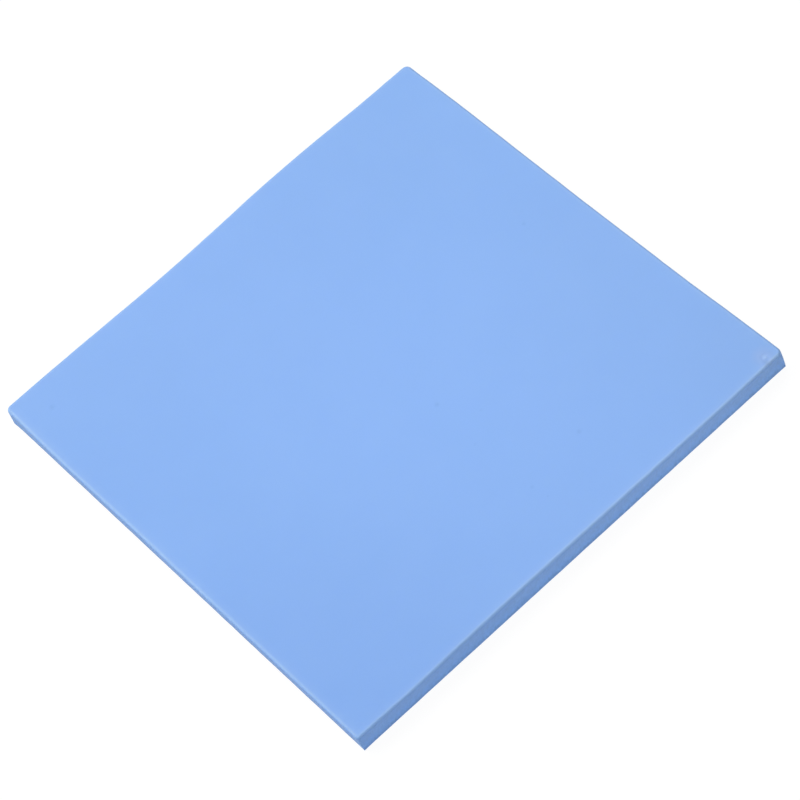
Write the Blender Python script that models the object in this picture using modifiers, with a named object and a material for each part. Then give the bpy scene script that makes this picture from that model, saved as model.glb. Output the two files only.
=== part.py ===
"""Thermal pad sheet: one piece of soft blue silicone stock, cut to size with a blade.

The sheet lies flat. Its underside is on z = 0, its middle is at the origin, and its length runs
along X. It is one solid, made in this order: the outline of its foot, the sheet raised from it,
the top rim carried out over the foot where the blade leaned, then the rolled top rim and the small
edge at the foot.
"""

import bpy
import bmesh
from mathutils import Vector

# Sizes of the cut sheet over its top face, in metres.
SHEET_LENGTH = 0.100
SHEET_WIDTH = 0.100
SHEET_THICKNESS = 0.005

# Round of each corner in plan. The near corner points to -X -Y and the far one to +X +Y.
NEAR_CORNER_RADIUS = 0.0007
LEFT_CORNER_RADIUS = 0.0011
RIGHT_CORNER_RADIUS = 0.0013
FAR_CORNER_RADIUS = 0.0012

# The soft top rim rolls over, and the foot has a hair's breadth of an edge.
RIM_ROLL_RADIUS = 0.0005
FOOT_EDGE = 0.00012

# The blade leaned on the two near sides, so their foot is tucked in under the top rim.
NEAR_LEFT_TUCK = 0.00041
NEAR_RIGHT_TUCK = 0.00039

# How far the blade strayed outwards at even steps along each side, from one corner to the next.
# The near sides were cut along a rule: their foot is straight, and only the soft rim wanders.
FAR_RIGHT_STRAY = (0.00003, -0.00019, -0.00021, -0.00026, -0.00021, -0.00014, -0.0001)
FAR_LEFT_STRAY = (0.00014, 0.0005, 0.00049, 0.00001, -0.00025, -0.00012, 0.00005)
STRAIGHT = (0.0,) * len(FAR_LEFT_STRAY)
NEAR_LEFT_RIM_STRAY = (0.0, 0.00003, -0.00002, 0.00002, 0.00003, 0.00001, -0.00003)
NEAR_RIGHT_RIM_STRAY = (0.00019, 0.0, -0.00007, 0.00001, 0.0001, 0.00014, 0.00015)

# Facets.
PIECES_PER_CURVE = 4
RIM_ROLL_FACETS = 4
WELD_DISTANCE = 0.000001

# Handle length of a Bezier quarter circle, as a share of its radius.
QUARTER_CIRCLE_HANDLE = 0.5523

PAD_BLUE = (0.270, 0.475, 0.860, 1.0)
PAD_ROUGHNESS = 0.55
PAD_METALLIC = 0.0


def clear_scene():
    for obj in list(bpy.data.objects):
        bpy.data.objects.remove(obj, do_unlink=True)


def make_collection(name):
    collection = bpy.data.collections.new(name)
    bpy.context.scene.collection.children.link(collection)
    return collection


def make_silicone():
    """Matt blue filled silicone, the same right through."""
    material = bpy.data.materials.new("blue_silicone")
    material.use_nodes = True
    shader = material.node_tree.nodes["Principled BSDF"]
    shader.inputs["Base Color"].default_value = PAD_BLUE
    shader.inputs["Roughness"].default_value = PAD_ROUGHNESS
    shader.inputs["Metallic"].default_value = PAD_METALLIC
    material.diffuse_color = PAD_BLUE
    return material


def side_points(start, end, start_radius, end_radius, stray):
    """Bezier points along one side, each with its place and its two handles.

    The side starts and ends where the corners' rounds do. The outline runs anticlockwise, so
    the outside is to the right of the way it goes.
    """
    along = (end - start).normalized()
    outward = Vector((along.y, -along.x))
    first = start + along * start_radius
    last = end - along * end_radius
    steps = len(stray) + 1
    step = (last - first).length / steps
    offsets = (0.0, *stray, 0.0)
    points = []
    for index, offset in enumerate(offsets):
        place = first + along * step * index + outward * offset
        if 0 < index < steps:
            slope = (offsets[index + 1] - offsets[index - 1]) / (2 * step)
            reach = (along + outward * slope) * step / 3
            points.append((place, place - reach, place + reach))
        elif index == 0:
            into_corner = along * start_radius * QUARTER_CIRCLE_HANDLE
            points.append((place, place - into_corner, place + along * step / 3))
        else:
            into_corner = along * end_radius * QUARTER_CIRCLE_HANDLE
            points.append((place, place - along * step / 3, place + into_corner))
    return points


def outline_points():
    """All Bezier points of the foot, anticlockwise from the near corner."""
    left_x = -SHEET_LENGTH / 2 + NEAR_LEFT_TUCK
    near_y = -SHEET_WIDTH / 2 + NEAR_RIGHT_TUCK
    near = Vector((left_x, near_y))
    right = Vector((SHEET_LENGTH / 2, near_y))
    far = Vector((SHEET_LENGTH / 2, SHEET_WIDTH / 2))
    left = Vector((left_x, SHEET_WIDTH / 2))
    sides = (
        (near, right, NEAR_CORNER_RADIUS, RIGHT_CORNER_RADIUS, STRAIGHT),
        (right, far, RIGHT_CORNER_RADIUS, FAR_CORNER_RADIUS, FAR_RIGHT_STRAY),
        (far, left, FAR_CORNER_RADIUS, LEFT_CORNER_RADIUS, FAR_LEFT_STRAY),
        (left, near, LEFT_CORNER_RADIUS, NEAR_CORNER_RADIUS, STRAIGHT),
    )
    return [point for side in sides for point in side_points(*side)]


def make_outline(name):
    """The foot as a filled flat curve, raised by half the thickness to each side."""
    curve = bpy.data.curves.new(name, "CURVE")
    curve.dimensions = "2D"
    curve.fill_mode = "BOTH"
    curve.extrude = SHEET_THICKNESS / 2
    curve.resolution_u = PIECES_PER_CURVE
    spline = curve.splines.new("BEZIER")
    points = outline_points()
    spline.bezier_points.add(len(points) - 1)
    for bezier, (place, before, after) in zip(spline.bezier_points, points):
        bezier.handle_left_type = "FREE"
        bezier.handle_right_type = "FREE"
        bezier.co = place.to_3d()
        bezier.handle_left = before.to_3d()
        bezier.handle_right = after.to_3d()
    spline.use_cyclic_u = True
    outline = bpy.data.objects.new(name, curve)
    outline.location.z = SHEET_THICKNESS / 2
    return outline


def raise_sheet(outline, name, collection):
    """Turns the raised outline into a closed mesh with one face on top and one beneath."""
    bpy.context.scene.collection.objects.link(outline)
    bpy.context.view_layer.update()
    graph = bpy.context.evaluated_depsgraph_get()
    mesh = bpy.data.meshes.new_from_object(outline.evaluated_get(graph))
    mesh.transform(outline.matrix_world)
    mesh.name = name
    bpy.data.objects.remove(outline, do_unlink=True)
    sheet = bpy.data.objects.new(name, mesh)
    collection.objects.link(sheet)

    shape = bmesh.new()
    shape.from_mesh(mesh)
    bmesh.ops.remove_doubles(shape, verts=shape.verts, dist=WELD_DISTANCE)
    for height in (0.0, SHEET_THICKNESS):
        cap = [face for face in shape.faces if all(at_height(vertex, height) for vertex in face.verts)]
        bmesh.ops.dissolve_faces(shape, faces=cap)
    bmesh.ops.recalc_face_normals(shape, faces=shape.faces)
    shape.to_mesh(mesh)
    shape.free()
    return sheet


def at_height(vertex, height):
    return abs(vertex.co.z - height) < WELD_DISTANCE


def stray_at(stray, share):
    """The stray at a share of a side, read from its even steps, with none at the two corners."""
    offsets = (0.0, *stray, 0.0)
    position = min(max(share, 0.0), 1.0) * (len(offsets) - 1)
    step = min(int(position), len(offsets) - 2)
    blend = position - step
    ease = blend * blend * (3 - 2 * blend)
    return offsets[step] * (1 - ease) + offsets[step + 1] * ease


def carry_near_rims_out(sheet):
    """Moves the top rim of the two near sides out over the foot, by the tuck and the stray."""
    corner_room = 2 * max(NEAR_CORNER_RADIUS, LEFT_CORNER_RADIUS, RIGHT_CORNER_RADIUS)
    for vertex in sheet.data.vertices:
        place = vertex.co
        if place.z < SHEET_THICKNESS / 2:
            continue
        share_along_x = place.x / SHEET_LENGTH + 0.5
        share_along_y = place.y / SHEET_WIDTH + 0.5
        on_near_left = place.x < -SHEET_LENGTH / 2 + corner_room
        on_near_right = place.y < -SHEET_WIDTH / 2 + corner_room
        if on_near_left:
            place.x -= NEAR_LEFT_TUCK + stray_at(NEAR_LEFT_RIM_STRAY, 1 - share_along_y)
        if on_near_right:
            place.y -= NEAR_RIGHT_TUCK + stray_at(NEAR_RIGHT_RIM_STRAY, share_along_x)


def bevel_ring(sheet, name, height, width, segments):
    """Rounds the ring of edges at one height with a Bevel modifier."""
    ring = [vertex.index for vertex in sheet.data.vertices if at_height(vertex, height)]
    sheet.vertex_groups.new(name=name).add(ring, 1.0, "REPLACE")
    bevel = sheet.modifiers.new(name, "BEVEL")
    bevel.limit_method = "VGROUP"
    bevel.vertex_group = name
    bevel.width = width
    bevel.segments = segments
    bevel.profile = 0.5


def main():
    clear_scene()
    collection = make_collection("thermal_pad_sheet")
    sheet = raise_sheet(make_outline("cut_outline"), "pad_sheet", collection)
    carry_near_rims_out(sheet)
    bevel_ring(sheet, "rolled_rim", SHEET_THICKNESS, RIM_ROLL_RADIUS, RIM_ROLL_FACETS)
    bevel_ring(sheet, "foot_edge", 0.0, FOOT_EDGE, 1)
    sheet.data.materials.append(make_silicone())
    sheet.data.shade_smooth()
    sheet.data.set_sharp_from_angle(angle=0.6)


main()
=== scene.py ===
# %% [markdown]
# # A sheet of thermal pad
#
# The object is one piece of soft, pale blue silicone, filled with ceramic powder, that carries heat
# from a chip to its heatsink. It was cut from stock with a blade. It has two smooth faces, four cut
# sides, and a top rim that the blade dragged over into a small roll.
#
# This lesson dresses the plain solid of that sheet: a camera, a floor and lights, a finely cut mesh
# with the marks that the blade left, and one material for the silicone.

# %% Load the plain solid
import math

import bmesh
import bpy
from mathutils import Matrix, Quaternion, Vector, noise


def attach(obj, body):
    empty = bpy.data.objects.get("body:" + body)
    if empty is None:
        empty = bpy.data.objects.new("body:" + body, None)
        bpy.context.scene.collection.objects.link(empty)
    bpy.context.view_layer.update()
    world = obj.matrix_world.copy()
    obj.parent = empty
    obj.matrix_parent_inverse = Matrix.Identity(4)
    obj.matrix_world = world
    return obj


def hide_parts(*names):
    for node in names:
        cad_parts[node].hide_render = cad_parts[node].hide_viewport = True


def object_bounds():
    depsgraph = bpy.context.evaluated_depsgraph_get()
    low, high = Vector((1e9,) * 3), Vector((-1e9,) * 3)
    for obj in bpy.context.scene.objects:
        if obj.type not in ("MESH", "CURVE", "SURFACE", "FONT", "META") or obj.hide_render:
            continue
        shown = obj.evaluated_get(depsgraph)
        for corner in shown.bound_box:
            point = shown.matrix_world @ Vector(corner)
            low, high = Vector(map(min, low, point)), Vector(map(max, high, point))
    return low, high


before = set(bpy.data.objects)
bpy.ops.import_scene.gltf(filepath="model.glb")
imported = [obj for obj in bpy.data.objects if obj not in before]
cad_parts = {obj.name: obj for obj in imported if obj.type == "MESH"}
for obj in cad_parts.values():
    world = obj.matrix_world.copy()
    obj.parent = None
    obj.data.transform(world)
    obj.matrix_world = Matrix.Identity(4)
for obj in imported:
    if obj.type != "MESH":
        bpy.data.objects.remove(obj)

MM = 0.001
solid_low, solid_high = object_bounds()
print("solid box, mm:", [round(v / MM, 2) for v in (*solid_low, *solid_high)])

# %% [markdown]
# ## The camera
#
# The photograph was taken with a long lens from above the near corner, and the camera was turned
# about its own axis, so the sheet stands on its corner like a diamond. A camera can be aimed with
# a Track To constraint or by hand. Here a quaternion aims it at a point on the sheet, and a second
# one rolls it, because both then stay plain numbers.

# %% Camera
def look_at(obj, place, target, roll_degrees=0.0):
    """Puts an object at a place, points its -Z at a target and rolls it about that line."""
    aim = (Vector(target) - Vector(place)).to_track_quat("-Z", "Y")
    roll = Quaternion((0.0, 0.0, 1.0), math.radians(roll_degrees))
    obj.location = place
    obj.rotation_mode = "QUATERNION"
    obj.rotation_quaternion = aim @ roll


camera_place = Vector((-138.12, -340.29, 519.58)) * MM
camera_target = Vector((-0.68, -5.16, 5.0)) * MM
camera = bpy.data.objects.new("camera", bpy.data.cameras.new("camera"))
camera.data.sensor_width = 36.0
camera.data.lens = 161.2
bpy.context.scene.collection.objects.link(camera)
bpy.context.scene.camera = camera
look_at(camera, camera_place, camera_target, roll_degrees=-23.04)
print("camera distance, mm:", round((camera_target - camera_place).length / MM, 1))

# %% [markdown]
# ## Shader sums written as sums
#
# A procedural finish is mostly arithmetic on masks and noise. Wiring each Math node by hand hides
# the idea, so one small class wraps an output socket and lets Python's operators add the nodes.
# A second class holds the material and has the one method that adds any node at all.

# %% Wires and finishes
class Wire:
    """An output inside a material. Arithmetic on it adds Math nodes."""

    def __init__(self, finish, socket):
        self.finish = finish
        self.socket = socket

    def math(self, operation, first, second):
        return self.finish.add("ShaderNodeMath", {"operation": operation}, {0: first, 1: second})

    def __add__(self, other):
        return self.math("ADD", self, other)

    __radd__ = __add__

    def __sub__(self, other):
        return self.math("SUBTRACT", self, other)

    def __rsub__(self, other):
        return self.math("SUBTRACT", other, self)

    def __mul__(self, other):
        return self.math("MULTIPLY", self, other)

    __rmul__ = __mul__


class Finish:
    """A material, its node tree and the shader at its end."""

    def __init__(self, name):
        self.material = bpy.data.materials.new(name)
        self.material.use_nodes = True
        self.tree = self.material.node_tree
        self.shader = self.tree.nodes["Principled BSDF"]

    def feed(self, socket, value):
        if isinstance(value, Wire):
            self.tree.links.new(value.socket, socket)
        else:
            socket.default_value = value

    def add(self, kind, settings=None, values=None, output=0):
        """Adds a node, sets it, feeds its sockets, and returns one of its outputs."""
        node = self.tree.nodes.new(kind)
        for name, setting in (settings or {}).items():
            setattr(node, name, setting)
        for name, value in (values or {}).items():
            self.feed(node.inputs[name], value)
        return Wire(self, node.outputs[output])


# %% [markdown]
# ## Floor and light
#
# The sheet was photographed on plain white in soft light, and no shadow was left beside it. A light
# table does the same: most of the floor's light is its own glow, so the sheet's shadow hardly shows
# on it, and the cut sides get light from below. The rest is three large softboxes: one behind the
# sheet, which the top face mirrors as a faint veil, one to its left, and a weaker one in front that
# fills the near sides.

# %% Floor
def make_floor(size, height, paper, glow):
    shape = bmesh.new()
    bmesh.ops.create_grid(shape, x_segments=1, y_segments=1, size=size / 2)
    bmesh.ops.translate(shape, verts=shape.verts, vec=(0.0, 0.0, height))
    mesh = bpy.data.meshes.new("floor")
    shape.to_mesh(mesh)
    shape.free()
    floor = bpy.data.objects.new("floor", mesh)
    bpy.context.scene.collection.objects.link(floor)
    finish = Finish("light_table")
    finish.shader.inputs["Base Color"].default_value = (paper, paper, paper, 1.0)
    finish.shader.inputs["Roughness"].default_value = 0.9
    finish.shader.inputs["Specular IOR Level"].default_value = 0.1
    finish.shader.inputs["Emission Color"].default_value = (1.0, 1.0, 1.0, 1.0)
    finish.shader.inputs["Emission Strength"].default_value = glow
    mesh.materials.append(finish.material)
    return floor


floor = make_floor(size=12.0, height=-0.05 * MM, paper=0.07, glow=0.95)
print("floor:", tuple(floor.dimensions))


# %% Lights
def add_softbox(name, place, target, width, radiance):
    light = bpy.data.objects.new(name, bpy.data.lights.new(name, "AREA"))
    light.data.shape = "SQUARE"
    light.data.size = width
    light.data.energy = radiance * math.pi * width * width
    bpy.context.scene.collection.objects.link(light)
    look_at(light, place, target)
    return light


def make_world(colour, strength):
    world = bpy.data.worlds.new("studio")
    world.use_nodes = True
    background = world.node_tree.nodes["Background"]
    background.inputs["Color"].default_value = (*colour, 1.0)
    background.inputs["Strength"].default_value = strength
    bpy.context.scene.world = world
    return world


sheet_middle = (solid_low + solid_high) / 2
add_softbox("back_softbox", (0.42, 1.16, 1.82), sheet_middle, width=1.8, radiance=3.04)
add_softbox("left_softbox", (-1.22, 1.09, 1.47), sheet_middle, width=1.8, radiance=3.15)
add_softbox("front_softbox", (0.14, -1.94, 1.03), sheet_middle, width=1.6, radiance=1.7)
make_world(colour=(1.0, 1.0, 1.0), strength=0.1)
bpy.context.scene.view_settings.view_transform = "Standard"

# %% [markdown]
# ## The blank
#
# The sheet starts as a box of the stock size. Its four upright edges are rounded one at a time,
# because the blade left each corner with a round of its own. The top rim gets a roll and the foot a
# hair's breadth of an edge. Rounding the few long edges of a plain box is quick and exact, so it
# comes before the box is cut into small faces.

# %% Blank with rounded edges
length = 100 * MM
width = 100 * MM
thickness = solid_high.z - solid_low.z
# The round of each corner, by the sides of x and y that it lies on.
corner_radii = {(-1, -1): 0.7 * MM, (1, -1): 1.3 * MM, (1, 1): 1.15 * MM, (-1, 1): 1.1 * MM}
roll_radius = 0.5 * MM
foot_edge = 0.12 * MM
# How close a point has to be to count as on a line or a plane.
touch = 0.01 * MM


def round_edges(shape, edges, radius, segments):
    bmesh.ops.bevel(
        shape, geom=edges, offset=radius, offset_type="OFFSET", segments=segments,
        profile=0.5, affect="EDGES", material=-1,
    )


def edges_where(shape, test):
    return [edge for edge in shape.edges if all(test(vertex.co) for vertex in edge.verts)]


def make_blank():
    shape = bmesh.new()
    bmesh.ops.create_cube(shape, size=1.0)
    bmesh.ops.scale(shape, verts=shape.verts, vec=(length, width, thickness))
    bmesh.ops.translate(shape, verts=shape.verts, vec=(0.0, 0.0, thickness / 2))
    for (side_x, side_y), radius in corner_radii.items():
        corner = Vector((side_x * length / 2, side_y * width / 2))
        upright = edges_where(shape, lambda place: (place.xy - corner).length < touch)
        round_edges(shape, upright, radius, segments=10)
    top_rim = edges_where(shape, lambda place: place.z > thickness - touch)
    round_edges(shape, top_rim, roll_radius, segments=8)
    foot = edges_where(shape, lambda place: place.z < touch)
    round_edges(shape, foot, foot_edge, segments=2)
    return shape


blank = make_blank()
print("blank:", len(blank.faces), "faces")

# %% [markdown]
# ## Cutting it fine
#
# The blade marks are gentle curves, so the faces have to be small enough to bend. Subdividing an
# n-gon gives no regular grid. Slicing the whole blank with evenly spaced planes does, and it keeps
# the rounded corners and the roll exactly where they are. Two more slices close to the roll keep
# its shading from bleeding into the flat face.

# %% Slice into a grid
grid_step = 1.0 * MM
side_rows = 10
# Where the slices lie that hold the flat face flat, and how far the even ones keep off the rims.
holding_gaps = (0.12 * MM, 0.35 * MM)
rim_margin = 1.5 * MM
row_margin = 0.1 * MM
slice_weld = 0.001 * MM


def slice_blank(shape, axis, places):
    normal = Vector((0.0, 0.0, 0.0))
    normal[axis] = 1.0
    for place in places:
        everything = [*shape.verts, *shape.edges, *shape.faces]
        bmesh.ops.bisect_plane(
            shape, geom=everything, dist=slice_weld, plane_co=normal * place, plane_no=normal
        )


def even_places(low, high, step):
    count = round((high - low) / step)
    return [low + (high - low) * index / count for index in range(count + 1)]


for axis, size in enumerate((length, width)):
    reach = size / 2 - roll_radius
    holding = [sign * (reach - gap) for sign in (-1, 1) for gap in holding_gaps]
    even = even_places(-reach + rim_margin, reach - rim_margin, grid_step)
    slice_blank(blank, axis, [*holding, *even])
row_top = thickness - roll_radius - row_margin
row_low = foot_edge + row_margin
slice_blank(blank, 2, even_places(row_low, row_top, (row_top - row_low) / side_rows))
print("sliced blank:", len(blank.faces), "faces")

# %% [markdown]
# ## Which skin is where
#
# The two broad faces are smooth from the liner they were cast on. The sides are raw cuts, and the
# roll between them carries a painted highlight: its colour is painted paler, most of all on the near
# sides, and the painted highlight also runs down the edge at the near corner. On the far sides the
# cut reaches further up the roll. The material needs to know which is which. In the still perfect
# blank a point's height and its distance from the rim tell it, so three named attributes are written
# before anything is bent.

# %% Mark cut sides, roll and height
# Places on the roll, as distances over the skin from where the roll starts.
crest_middle = 0.15 * MM
crest_spread = 0.37 * MM
cut_start_near = 0.40 * MM
cut_start_far = 0.15 * MM
cut_fade = 0.4 * MM
flat_angle = 0.02

# The share of the painted highlight on the roll that is left on the far sides, and the painted highlight
# strip by the upright edge at the near corner.
far_highlight_share = 0.5
strip_middle = Vector((-length / 2, -width / 2 + 0.7 * MM))
strip_radius = 0.6 * MM
strip_highlight_share = 0.6
corner_change = 1 * MM


def bell(gap, spread):
    """1 where the gap is 0, falling off smoothly over the spread."""
    return math.exp(-((gap / spread) ** 2))


def smooth_step(low, high, value):
    share = min(max((value - low) / (high - low), 0.0), 1.0)
    return share * share * (3 - 2 * share)


def way_past_rim(place):
    """Distance over the skin from where the roll starts: below 0 on the flat, above 0 on the roll."""
    rise = (place.z - (thickness - roll_radius)) / roll_radius
    angle = math.acos(min(max(rise, 0.0), 1.0))
    if angle > flat_angle:
        return roll_radius * angle
    flat_reach = min(length / 2 - abs(place.x), width / 2 - abs(place.y)) - roll_radius
    return -max(flat_reach, 0.0)


def far_side(place):
    """1 by the two far sides, 0 by the two near ones, with a soft change at the corners."""
    return smooth_step(-corner_change, corner_change, place.x + place.y)


# The painted highlight along the roll, weaker on the far sides.
def painted_highlight_on_roll(way, far):
    return (1 - (1 - far_highlight_share) * far) * bell(way - crest_middle, crest_spread)


def painted_highlight_on_near_edge(place):
    """A painted highlight: the paler strip beside the upright edge at the near corner, on its left side.
    """
    return strip_highlight_share * bell((place.xy - strip_middle).length, strip_radius)


def mark_skins(shape):
    cut_layer = shape.verts.layers.float.new("cut_side")
    highlight_layer = shape.verts.layers.float.new("rim_highlight_and_gloss")
    rise_layer = shape.verts.layers.float.new("side_rise")
    for vertex in shape.verts:
        way = way_past_rim(vertex.co)
        under = vertex.co.z < touch
        far = far_side(vertex.co)
        cut_start = cut_start_near + (cut_start_far - cut_start_near) * far
        # Painted highlight: the roll and the near corner's edge are painted paler.
        highlight = max(painted_highlight_on_roll(way, far), painted_highlight_on_near_edge(vertex.co))
        vertex[cut_layer] = 0.0 if under else smooth_step(cut_start, cut_start + cut_fade, way)
        vertex[highlight_layer] = 0.0 if under else highlight
        vertex[rise_layer] = vertex.co.z / thickness


mark_skins(blank)
print("marked", len(blank.verts), "points")

# %% [markdown]
# ## What the blade did
#
# The two near sides were cut along a rule, so their foot is straight. The blade leaned, which left
# the foot tucked in under the top rim, a little less the further it went from the near corner, and
# the soft rim wandered. On the far sides the blade strayed by a few tenths of a millimetre. Each of
# these is a smooth push along the side's outward direction that fades out over the first
# millimetres of the face.

# %% Leaning and straying cuts
# How far the foot is tucked in, and the share of it that is lost along each near side.
near_left_tuck = 0.44 * MM
near_right_tuck = 0.42 * MM
lean_eased = 0.15
# How far each rim or side strays outwards, at even steps from one corner to the next.
near_left_rim_stray = [v * MM for v in (-0.18, 0.0, 0.03, -0.02, 0.02, 0.03, 0.01, -0.03, 0.0)]
near_right_rim_stray = [v * MM for v in (0.0, 0.19, 0.0, -0.07, 0.01, 0.10, 0.14, 0.15, 0.0)]
far_right_stray = [v * MM for v in (0.15, 0.03, -0.19, -0.21, -0.26, -0.21, -0.14, -0.10, -0.22)]
far_left_stray = [v * MM for v in (0.07, 0.14, 0.50, 0.49, 0.01, -0.25, -0.12, 0.05, 0.04)]
push_reach = 9 * MM


def curve_through(knots, share):
    """A smooth curve through evenly spaced offsets, read at a share of the side."""
    steps = len(knots) - 1
    position = min(max(share, 0.0), 1.0) * steps
    index = min(int(position), steps - 1)
    t = position - index
    before, start, end, after = (knots[min(max(index + k, 0), steps)] for k in (-1, 0, 1, 2))
    slope_start = (end - before) / 2 if index > 0 else 0.0
    slope_end = (after - start) / 2 if index < steps - 1 else 0.0
    return (
        start * (2 * t**3 - 3 * t**2 + 1) + slope_start * (t**3 - 2 * t**2 + t)
        + end * (3 * t**2 - 2 * t**3) + slope_end * (t**3 - t**2)
    )


def hold_by_side(place):
    """How firmly a point belongs to each side: near left, near right, far right, far left."""
    gaps = (length / 2 + place.x, width / 2 + place.y, length / 2 - place.x, width / 2 - place.y)
    return [1 - smooth_step(0, push_reach, gap) for gap in gaps]


def push_sides(shape):
    for vertex in shape.verts:
        place = vertex.co
        share_x = place.x / length + 0.5
        share_y = place.y / width + 0.5
        hold_left, hold_right, hold_far_right, hold_far_left = hold_by_side(place)
        up = place.z / thickness
        left_tuck = near_left_tuck * (1 - lean_eased * share_y)
        right_tuck = near_right_tuck * (1 - lean_eased * share_x)
        near_left = left_tuck * (1 - up) - curve_through(near_left_rim_stray, 1 - share_y) * up
        near_right = right_tuck * (1 - up) - curve_through(near_right_rim_stray, share_x) * up
        far_right = curve_through(far_right_stray, share_y)
        far_left = curve_through(far_left_stray, 1 - share_x)
        place.x += near_left * hold_left + far_right * hold_far_right
        place.y += near_right * hold_right + far_left * hold_far_left


# %% [markdown]
# ## Soft stock under a blade
#
# Smaller marks show that the stock is soft. Each cut side is a little hollow, because the silicone
# bulges under pressure while it is cut and springs back. The blade chatters, which leaves a faint
# ripple along the sides. The corners are round at the rim, where the skin was dragged, and sharp at
# the foot, where the blade met the board. At the right and the left corner the foot slipped a
# little under the blade. All are moves of the points that are already there.

# %% Sharp and slipped feet
side_top = thickness - roll_radius
foot_sharpness = 0.96
foot_power = 0.8
# How far along the sides a corner's foot is sharpened, in radii of that corner.
foot_reach = 3
right_foot_slip = Vector((-0.07, 0.0)) * MM
left_foot_slip = Vector((-0.10, -0.25)) * MM


def way_down(place):
    """0 at the rim and above it, 1 at the foot."""
    return 1 - min(place.z / side_top, 1.0)


def sharpen_feet(shape):
    for (side_x, side_y), radius in corner_radii.items():
        corner = Vector((side_x * length / 2, side_y * width / 2))
        for vertex in shape.verts:
            place = vertex.co
            gap = max(abs(place.x - corner.x), abs(place.y - corner.y))
            if gap < foot_reach * radius:
                hold = 1 - smooth_step(radius, foot_reach * radius, gap)
                shrink = 1 - foot_sharpness * hold * way_down(place) ** foot_power
                place.xy = corner + (place.xy - corner) * shrink


def pull_corner(shape, corner, reach, pull, power):
    """Moves the foot of one corner, fading out over the reach and up the corner's edge."""
    for vertex in shape.verts:
        place = vertex.co
        hold = 1 - smooth_step(0, reach, (place.xy - corner).length)
        place.xy += pull * hold * way_down(place) ** power


# %% Hollow sides and chatter
side_hollow = 0.05 * MM
chatter = 0.03 * MM
chatter_wave = 2.6 * MM
chatter_drag = 0.3
firm_corner = 4 * MM


def hollow_sides(shape):
    for vertex in shape.verts:
        place = vertex.co
        bow = side_hollow * math.sin(math.pi * way_down(place))
        ripple = chatter * noise.noise(Vector((place.x, place.y, place.z * chatter_drag)) / chatter_wave)
        firm_x = smooth_step(0, firm_corner, length / 2 - abs(place.x))
        firm_y = smooth_step(0, firm_corner, width / 2 - abs(place.y))
        hold_left, hold_right, hold_far_right, hold_far_left = hold_by_side(place)
        place.x += (bow + ripple) * (hold_left - hold_far_right) * firm_y
        place.y += (bow + ripple) * (hold_right - hold_far_left) * firm_x


sharpen_feet(blank)
hollow_sides(blank)
right_corner = Vector((length, -width)) / 2
left_corner = Vector((-length, width)) / 2
pull_corner(blank, right_corner, reach=2.5 * MM, pull=right_foot_slip, power=3)
pull_corner(blank, left_corner, reach=2.0 * MM, pull=left_foot_slip, power=1.5)
push_sides(blank)
lowest = Vector(map(min, *(v.co for v in blank.verts)))
highest = Vector(map(max, *(v.co for v in blank.verts)))
print("cut sheet box, mm:", [round(v / MM, 2) for v in (*lowest, *highest)])

# %% [markdown]
# ## The top face up close
#
# No cast sheet is dead flat. The top sinks by a few hundredths of a millimetre here and there over
# a few centimetres, enough to bend a reflection. Close to the right corner an air bubble under the
# skin left a shallow ring with a pimple in its middle. The bubble needs finer faces than the rest
# of the sheet, so only the faces around it are subdivided.

# %% Undulation and the bubble
sink_depth = 0.04 * MM
sink_wave = 24 * MM
bubble_place = Vector((47.2, -48.5)) * MM
bubble_reach = 2.4 * MM
bubble_depth = 0.25 * MM
ring_radius = 1.08 * MM
ring_width = 0.3 * MM
ring_height = 0.035 * MM
pimple_radius = 0.3 * MM
pimple_height = 0.110 * MM


def sink_top(shape):
    """Lowers the top here and there. The sides follow it less and less towards the foot."""
    for vertex in shape.verts:
        place = vertex.co
        wave = noise.noise(Vector((place.x, place.y, 3 * sink_wave)) / sink_wave)
        place.z -= sink_depth * (0.5 + 0.5 * wave) * smooth_step(0.3, 1.0, place.z / thickness)


def raise_bubble(shape):
    def near_bubble(vertex):
        on_top = vertex.co.z > thickness - bubble_depth
        return on_top and (vertex.co.xy - bubble_place).length < bubble_reach

    patch = [edge for edge in shape.edges if all(near_bubble(v) for v in edge.verts)]
    bmesh.ops.subdivide_edges(shape, edges=patch, cuts=4, use_grid_fill=True)
    for vertex in shape.verts:
        if near_bubble(vertex):
            gap = (vertex.co.xy - bubble_place).length
            ring = ring_height * bell(gap - ring_radius, ring_width)
            pimple = pimple_height * bell(gap, pimple_radius)
            vertex.co.z += ring + pimple


sink_top(blank)
raise_bubble(blank)
print("with the bubble:", len(blank.faces), "faces")

# %% [markdown]
# ## The finished piece
#
# The mesh becomes one object that stands for the plain solid. It is shaded smooth: the roll and the
# corners have enough faces for that, and the slices next to the roll keep the flat faces flat.

# %% Make the piece
def finish_piece(shape, name):
    bmesh.ops.recalc_face_normals(shape, faces=shape.faces)
    open_edges = sum(1 for edge in shape.edges if not edge.is_manifold)
    mesh = bpy.data.meshes.new(name)
    shape.to_mesh(mesh)
    shape.free()
    mesh.shade_smooth()
    piece = bpy.data.objects.new(name, mesh)
    bpy.context.scene.collection.objects.link(piece)
    print(name, len(mesh.polygons), "faces,", open_edges, "open edges")
    return piece


pad = finish_piece(blank, "thermal_pad")
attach(pad, "root")
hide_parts("pad_sheet")

# %% [markdown]
# ## The silicone: colour
#
# Filled silicone is cloudy: the ceramic powder is not spread quite evenly, so the blue drifts by a
# few per cent over a few centimetres, and a few coarse grains show as specks. Over this lies painted
# light and shade: the top face is painted darker towards the near corner and the sides and a little
# brighter in the middle, and the roll is painted paler as a highlight. On the cut sides the filler
# lies bare. They are greyer towards the top and a deeper blue towards the foot, and painted shade
# darkens them just above the foot. One function makes each of these as a number or a colour, and
# the last one puts them together.

# %% Silicone colour
face_blue = (0.220, 0.421, 0.852)
side_blue = (0.163, 0.329, 0.693)
foot_blue = (0.152, 0.339, 0.750)
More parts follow.
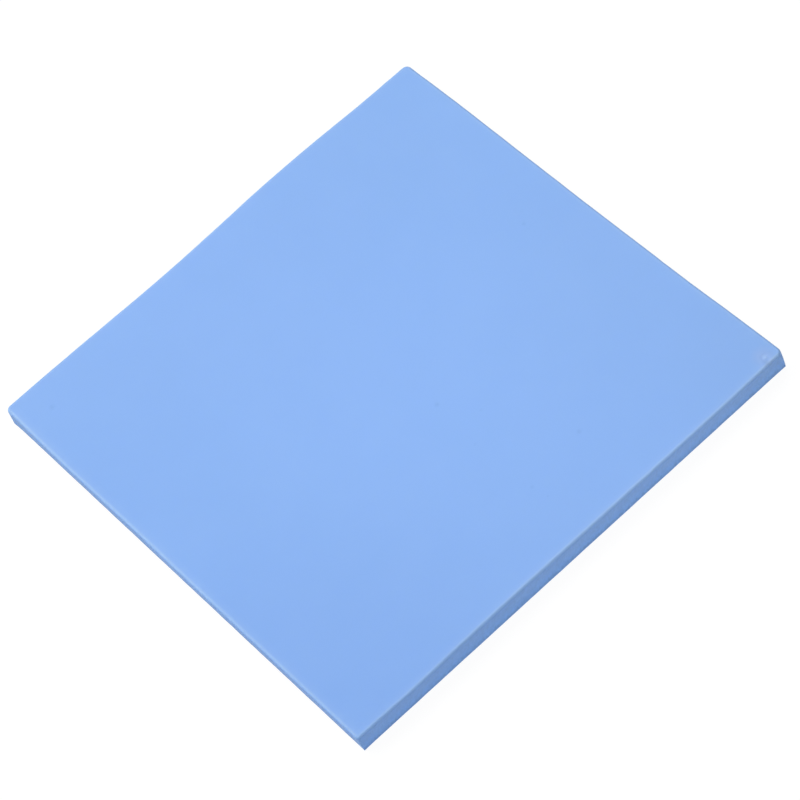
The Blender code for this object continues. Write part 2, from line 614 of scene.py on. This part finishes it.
# The colour of the painted highlight on the roll.
painted_highlight_blue = (0.293, 0.483, 0.828)

# By what share the tone changes.
drift_tone = 0.03
mottle_tone = 0.012
powder_tone = 0.03
torn_tone = 0.3
# How much the painted shade darkens the cut sides just above the foot.
foot_shade_tone = 0.20


def read_mark(finish, name):
    return finish.add("ShaderNodeAttribute", {"attribute_name": name}, output=2)


def cloud(finish, place, size, detail, seed, stretch=(1.0, 1.0, 1.0)):
    """Noise between about -0.5 and 0.5 whose lumps are about as large as size."""
    values = {"Vector": place, "Location": (seed, seed * 0.7, seed * 0.3), "Scale": stretch}
    moved = finish.add("ShaderNodeMapping", values=values)
    values = {"Vector": moved, "Scale": 1 / size, "Detail": detail, "Roughness": 0.5}
    return finish.add("ShaderNodeTexNoise", values=values) - 0.5


def fade(finish, value, start, end):
    """A soft step: 1 where the value is below start, 0 where it is past end."""
    values = {"Value": value, "From Min": start, "From Max": end, "To Min": 1.0, "To Max": 0.0}
    return finish.add("ShaderNodeMapRange", {"interpolation_type": "SMOOTHSTEP"}, values)


def spot(finish, place, x, y, radius):
    """1 in the middle of a round spot on the top face, 0 outside it."""
    middle = (x * MM, y * MM, thickness)
    gap = finish.add("ShaderNodeVectorMath", {"operation": "DISTANCE"}, {0: place, 1: middle}, output=1)
    return fade(finish, gap, 0.0, radius * MM)


def blend(finish, first, second, share):
    """Mixes two colours. A Mix node has its colour sockets at places 6 and 7."""
    values = {"Factor": share, 6: first, 7: second}
    return finish.add("ShaderNodeMix", {"data_type": "RGBA"}, values, output=2)


def multiply(finish, first, second):
    return finish.add("ShaderNodeVectorMath", {"operation": "MULTIPLY"}, {0: first, 1: second})


def tint(finish, colour, tone):
    return finish.add("ShaderNodeVectorMath", {"operation": "SCALE"}, {0: colour, "Scale": tone})


def opaque(colour):
    return (*colour, 1.0)


# Painted light and shade on the top face: darker towards the near corner and the sides, a little
# brighter in the middle. x, y and radius in mm, and by what share red, green and blue change there.
painted_light_falloff = (
    (-50, -50, 62, (-0.115, -0.075, -0.035)),
    (8, -8, 55, (0.028, 0.027, 0.030)),
    (42, -12, 40, (0.000, -0.008, -0.022)),
    (-44, 8, 40, (-0.042, -0.022, -0.010)),
    (42, 44, 50, (-0.018, -0.012, -0.024)),
    (-44, 46, 40, (-0.024, -0.018, -0.020)),
    (-51, 24, 20, (-0.030, -0.018, -0.008)),
    (-51, -14, 20, (-0.044, -0.026, -0.010)),
    (51, -51, 28, (-0.022, -0.030, -0.048)),
)
# The bubble by the right corner: a lilac haze, a painted highlight on its pimple and a painted shadow
# beside it.
bubble_haze_and_painted_light = (
    (47.1, -47.9, 2.9, (0.18, 0.02, -0.04)),
    (47.3, -48.4, 0.9, (0.20, 0.14, 0.08)),
    (46.6, -49.3, 0.9, (-0.14, -0.12, -0.10)),
)
# Coarse grains under the top skin.
grains = (
    (-43.7, 43.4, 0.9, (-0.085, -0.068, -0.050)),
    (3.0, -11.0, 0.75, (-0.100, -0.085, -0.055)),
    (15.7, -34.4, 0.75, (-0.085, -0.080, -0.055)),
    (39.2, 5.5, 0.6, (-0.090, -0.070, -0.045)),
    (2.0, -22.3, 0.5, (-0.045, -0.040, -0.025)),
    (7.4, -17.9, 0.5, (-0.045, -0.040, -0.025)),
    (2.7, -36.4, 0.6, (-0.065, -0.055, -0.035)),
    (3.3, -39.8, 0.4, (-0.065, -0.055, -0.035)),
)


def silicone_colour(finish, place, cut, rim_highlight_and_gloss, rise):
    drift = cloud(finish, place, size=28 * MM, detail=2.0, seed=0.31)
    mottle = cloud(finish, place, size=5 * MM, detail=2.0, seed=0.52)
    powder = cloud(finish, place, size=0.35 * MM, detail=2.0, seed=0.73)
    torn = cloud(finish, place, size=0.5 * MM, detail=3.0, seed=0.94, stretch=(1.0, 1.0, 0.5))
    # Painted shade: the cut sides are painted darker just above the foot, with a torn edge.
    painted_foot_shade = fade(finish, rise + torn * 0.25, start=0.08, end=0.30) * foot_shade_tone
    face_tone = drift * drift_tone + mottle * mottle_tone + powder * powder_tone
    tone = 1 + face_tone + (torn * torn_tone - painted_foot_shade) * cut
    foot_share = fade(finish, rise, start=0.15, end=0.75)
    side_colour = blend(finish, opaque(side_blue), opaque(foot_blue), foot_share)
    colour = blend(finish, opaque(face_blue), side_colour, cut)
    # Painted highlight: the roll is blended towards the paler blue.
    colour = blend(finish, colour, opaque(painted_highlight_blue), rim_highlight_and_gloss)
    # Painted light and shade over the top face, the bubble's haze with its painted highlight and shadow,
    # and the grains, each as a round spot.
    for x, y, radius, change in (*painted_light_falloff, *bubble_haze_and_painted_light, *grains):
        full = tuple(1 + part for part in change)
        share = spot(finish, place, x, y, radius)
        colour = multiply(finish, colour, blend(finish, opaque((1.0, 1.0, 1.0)), opaque(full), share))
    return tint(finish, colour, tone)


# %% [markdown]
# ## The silicone: gloss and grain
#
# The cast faces have the fine orange peel of the liner. The roll is stretched smooth and shines a
# little more. The cut sides are torn on the scale of the powder, so they are rough and scatter the
# light. Light also enters silicone by a fraction of a millimetre, which softens its thin edges. The
# subsurface settings are the same everywhere, so they are set on the shader itself.

# %% Silicone finish
face_roughness = 0.48
smear_roughness = 0.08
cut_roughness = 0.17
rim_gloss = 0.10
peel_height = 0.006 * MM
powder_height = 0.003 * MM
tear_height = 0.02 * MM


def silicone_roughness(finish, place, cut, rim_highlight_and_gloss):
    smear = cloud(finish, place, size=9 * MM, detail=2.0, seed=0.15)
    # The same mask that carries the painted highlight also makes the roll glossier.
    return face_roughness + smear * smear_roughness + cut * cut_roughness - rim_highlight_and_gloss * rim_gloss


def silicone_relief(finish, place, cut):
    """Height of the fine relief, in metres."""
    peel = cloud(finish, place, size=1.1 * MM, detail=1.0, seed=0.26) * peel_height
    powder = cloud(finish, place, size=0.25 * MM, detail=2.0, seed=0.37) * powder_height
    tears = cloud(finish, place, size=0.45 * MM, detail=3.0, seed=0.48, stretch=(1.0, 1.0, 0.5))
    return peel * (1 - cut) + powder + tears * tear_height * cut


def make_silicone():
    finish = Finish("blue_silicone")
    place = finish.add("ShaderNodeTexCoord", output=3)
    cut = read_mark(finish, "cut_side")
    rim_highlight_and_gloss = read_mark(finish, "rim_highlight_and_gloss")
    rise = read_mark(finish, "side_rise")
    skin = finish.shader
    finish.feed(skin.inputs["Base Color"], silicone_colour(finish, place, cut, rim_highlight_and_gloss, rise))
    finish.feed(skin.inputs["Roughness"], silicone_roughness(finish, place, cut, rim_highlight_and_gloss))
    relief = silicone_relief(finish, place, cut)
    values = {"Height": relief, "Strength": 1.0, "Distance": 1.0}
    finish.feed(skin.inputs["Normal"], finish.add("ShaderNodeBump", values=values))
    skin.inputs["IOR"].default_value = 1.43
    skin.inputs["Subsurface Weight"].default_value = 0.15
    skin.inputs["Subsurface Radius"].default_value = (0.6 * MM, 0.8 * MM, 1.2 * MM)
    skin.inputs["Subsurface Scale"].default_value = 1.0
    print("blue_silicone:", len(finish.tree.nodes), "nodes")
    return finish.material


pad.data.materials.append(make_silicone())
